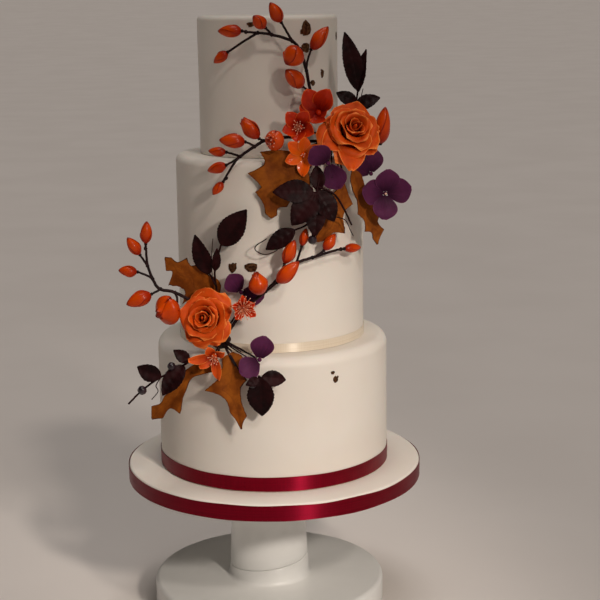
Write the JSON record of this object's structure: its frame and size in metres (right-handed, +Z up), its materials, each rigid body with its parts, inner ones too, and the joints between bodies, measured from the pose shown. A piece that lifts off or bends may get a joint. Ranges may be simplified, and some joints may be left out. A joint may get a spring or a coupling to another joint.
{
  "type": "tiered wedding cake on a pedestal stand",
  "caption": "Tiered wedding cake in smooth ivory icing with satin ribbons and sprays of sugar roses, buds, berries and autumn leaves, on its iced drum and a white pedestal stand.",
  "frame": {"origin": "on the surface that the stand rests on, under the middle of the cake's tiers", "axes": "+Z is up along the tiers' common axis, -Y is the front with the sprays of flowers, and +X is to the right seen from the front"},
  "size_m": [0.3334, 0.3334, 0.6863],
  "materials": {
    "stand_white": "smooth white moulded plastic with a soft gloss",
    "icing": "smooth matt ivory sugar paste, as matte_plastic",
    "satin_burgundy": "burgundy satin ribbon with a soft sheen",
    "satin_cream": "cream satin ribbon with a soft sheen",
    "rose_orange": "orange sugar petals dusted darker at their edges, as matte_plastic",
    "bud_orange": "glazed red-orange sugar buds, as gloss_plastic",
    "flower_red": "glazed red-orange sugar petals, as gloss_plastic",
    "twig_brown": "wires wound in near-black floral tape",
    "leaf_amber": "golden ochre sugar leaves with burnt brown edges, as matte_plastic",
    "leaf_plum": "dark plum sugar leaves and berries, as matte_plastic",
    "petal_violet": "deep purple sugar petals, as matte_plastic"
  },
  "bodies": {
    "root": {"stand_foot": "stand_white", "stand_neck": "stand_white", "stand_plate": "stand_white", "cake_drum": "icing", "tier_bottom": "icing", "tier_middle": "icing", "tier_top": "icing", "ribbon_drum": "satin_burgundy", "ribbon_bottom": "satin_burgundy", "ribbon_middle": "satin_cream", "stems_upper": "twig_brown", "stems_lower": "twig_brown", "bud_upper_1": "bud_orange", "bud_upper_2": "bud_orange", "bud_upper_3": "bud_orange", "bud_upper_4": "bud_orange", "bud_upper_5": "bud_orange", "bud_upper_6": "bud_orange", "bud_upper_7": "bud_orange", "bud_upper_8": "bud_orange", "bud_left_1": "bud_orange", "bud_left_2": "bud_orange", "bud_left_3": "bud_orange", "bud_left_4": "bud_orange", "bud_left_5": "bud_orange", "bud_left_6": "bud_orange", "bud_right_1": "bud_orange", "bud_right_2": "bud_orange", "bud_right_3": "bud_orange", "bud_right_4": "bud_orange", "bud_right_5": "bud_orange", "bud_right_6": "bud_orange", "bud_outer_1": "bud_orange", "bud_outer_2": "bud_orange", "bud_outer_3": "bud_orange", "bud_outer_4": "bud_orange", "bud_outer_5": "bud_orange", "rose_upper": "rose_orange", "rose_lower": "rose_orange", "flower_upper": "flower_red", "flower_middle": "flower_red", "flower_star": "rose_orange", "flower_side": "flower_red", "flower_under": "rose_orange", "floret_right": "petal_violet", "floret_back": "petal_violet", "floret_middle": "petal_violet", "floret_lower": "petal_violet", "floret_ledge": "petal_violet", "oak_leaf_left": "leaf_amber", "oak_leaf_right": "leaf_amber", "oak_leaf_centre": "leaf_amber", "oak_leaf_back": "leaf_amber", "oak_leaf_outer": "leaf_amber", "oak_leaf_front": "leaf_amber", "plum_leaves_upper": "leaf_plum", "plum_leaves_middle": "leaf_plum", "plum_leaves_high": "leaf_plum", "plum_leaves_outer": "leaf_plum", "plum_leaves_ledge": "leaf_plum"}
  },
  "joints": []
}
